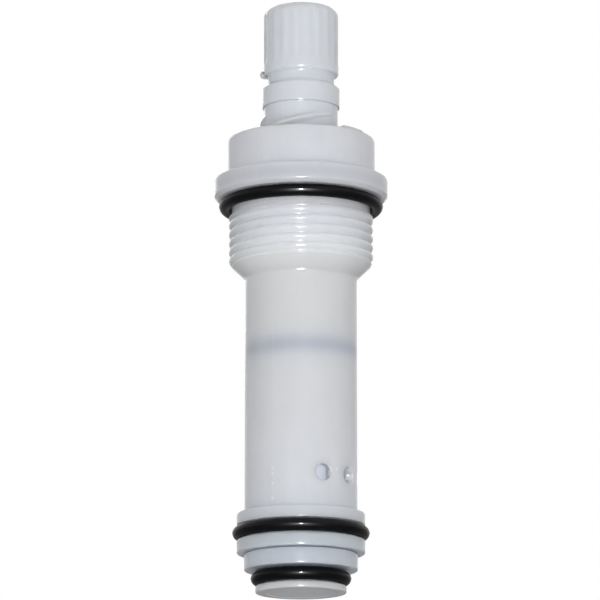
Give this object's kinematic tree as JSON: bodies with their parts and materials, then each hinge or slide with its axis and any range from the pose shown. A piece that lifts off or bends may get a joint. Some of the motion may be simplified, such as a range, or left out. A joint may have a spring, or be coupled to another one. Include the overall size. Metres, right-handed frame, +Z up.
{
  "type": "diverter stem",
  "caption": "White moulded diverter stem: threaded sleeve with side ports, rising spindle with splined head, plunger and black rubber seals.",
  "frame": {"origin": "centre of the flat foot of the plunger, on the surface that the part stands on", "axes": "+Z up along the stem, from the plunger foot to the splined head; -Y is the front; the water ports are on the +X side"},
  "size_m": [0.0266, 0.0266, 0.0914],
  "materials": {
    "sleeve_acetal": "white acetal, as moulded, slightly see-through",
    "spindle_acetal": "white acetal, as moulded, slightly see-through",
    "plunger_acetal": "white acetal with a faint blue cast, as moulded",
    "seal_rubber": "black nitrile rubber, lightly greased"
  },
  "bodies": {
    "sleeve": {"sleeve_body": "sleeve_acetal", "sleeve_o_ring": "seal_rubber", "flange_o_ring": "seal_rubber"},
    "plunger_group": {"plunger": "plunger_acetal", "plunger_o_ring": "seal_rubber", "piston_o_ring": "seal_rubber"},
    "spindle_group": {"spindle": "spindle_acetal"}
  },
  "joints": [
    {"name": "plunger_lift", "type": "slide", "parent": "sleeve", "child": "plunger_group", "axis": [0, 0, 1], "range_m": [-0.005, 0]},
    {"name": "spindle_turn", "type": "hinge", "parent": "plunger_group", "child": "spindle_group", "pos_m": [0, 0, 0.0703], "axis": [0, 0, 1], "range_deg": [-180, 0]}
  ],
  "couplings": [
    {"joint": "spindle_turn", "follows": "plunger_lift", "rad_per_m": 628.3}
  ]
}
